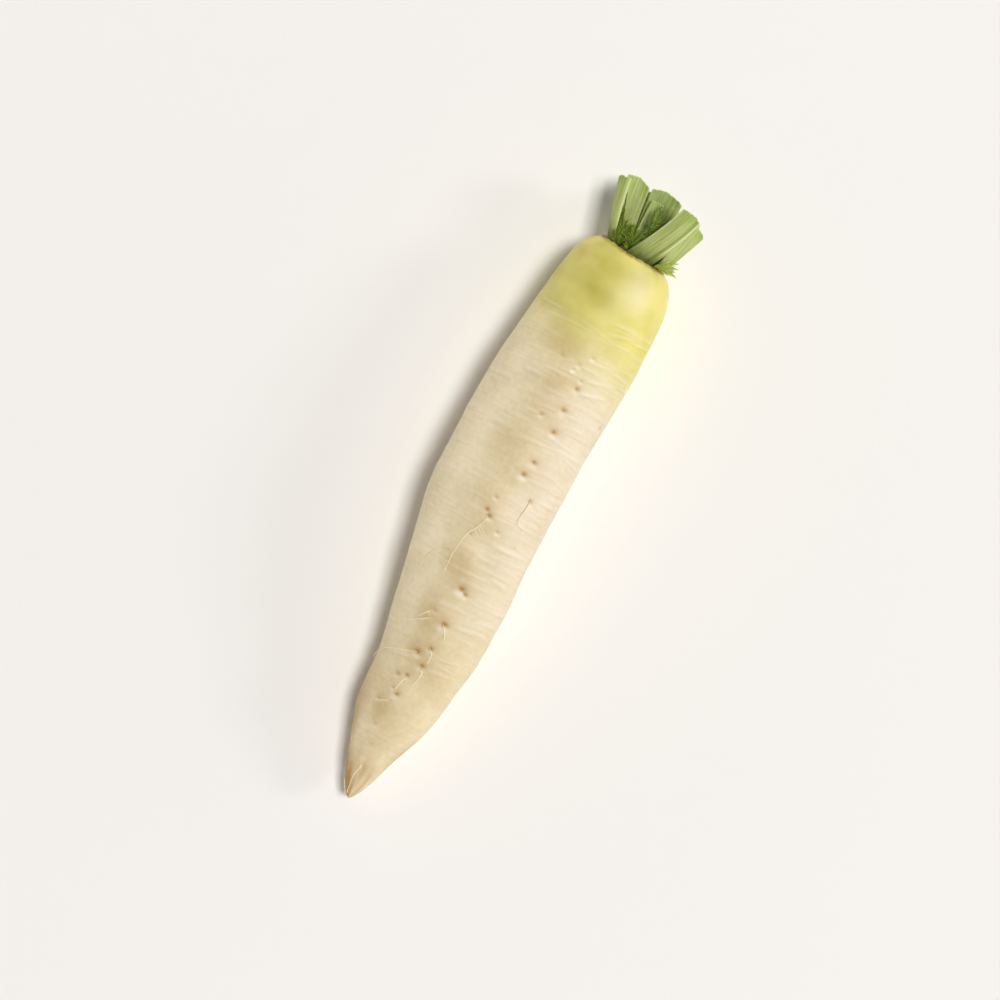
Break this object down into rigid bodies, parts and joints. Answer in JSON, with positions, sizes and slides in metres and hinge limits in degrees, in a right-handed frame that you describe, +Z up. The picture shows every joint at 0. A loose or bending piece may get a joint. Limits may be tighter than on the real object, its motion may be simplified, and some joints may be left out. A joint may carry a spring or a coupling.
{
  "type": "daikon radish",
  "caption": "Long white tapering radish root with a green shoulder and short cut leaf stalks, lying on its side.",
  "frame": {"origin": "middle of the underside of the box round the whole vegetable, on the surface it lies on", "axes": "+X along the root from its tip to its crown, +Y across it, +Z up"},
  "size_m": [0.4024, 0.0788, 0.0758],
  "materials": {
    "root_skin": "smooth moist skin, cream white, yellow green at the shoulder",
    "stalk_skin": "waxy pale green, finely ribbed",
    "young_leaf": "soft matt green",
    "rootlet_fibre": "dry pale fibre"
  },
  "bodies": {
    "root": {"heart_leaf_1": "young_leaf", "heart_leaf_2": "young_leaf", "heart_leaf_3": "young_leaf", "heart_leaf_4": "young_leaf", "heart_leaf_5": "young_leaf", "leaf_stalk_1": "stalk_skin", "leaf_stalk_2": "stalk_skin", "leaf_stalk_3": "stalk_skin", "leaf_stalk_4": "stalk_skin", "leaf_stalk_5": "stalk_skin", "leaf_stalk_6": "stalk_skin", "leaf_stalk_7": "stalk_skin", "leaf_stalk_8": "stalk_skin", "root": "root_skin", "rootlet_1": "rootlet_fibre", "rootlet_2": "rootlet_fibre", "rootlet_3": "rootlet_fibre", "rootlet_4": "rootlet_fibre", "rootlet_5": "rootlet_fibre", "rootlet_6": "rootlet_fibre", "rootlet_7": "rootlet_fibre", "rootlet_8": "rootlet_fibre", "rootlet_9": "rootlet_fibre", "rootlet_10": "rootlet_fibre", "rootlet_11": "rootlet_fibre", "rootlet_12": "rootlet_fibre", "rootlet_13": "rootlet_fibre", "rootlet_14": "rootlet_fibre", "rootlet_15": "rootlet_fibre", "rootlet_16": "rootlet_fibre", "rootlet_17": "rootlet_fibre", "side_shoot_1": "young_leaf", "side_shoot_2": "young_leaf"}
  },
  "joints": []
}
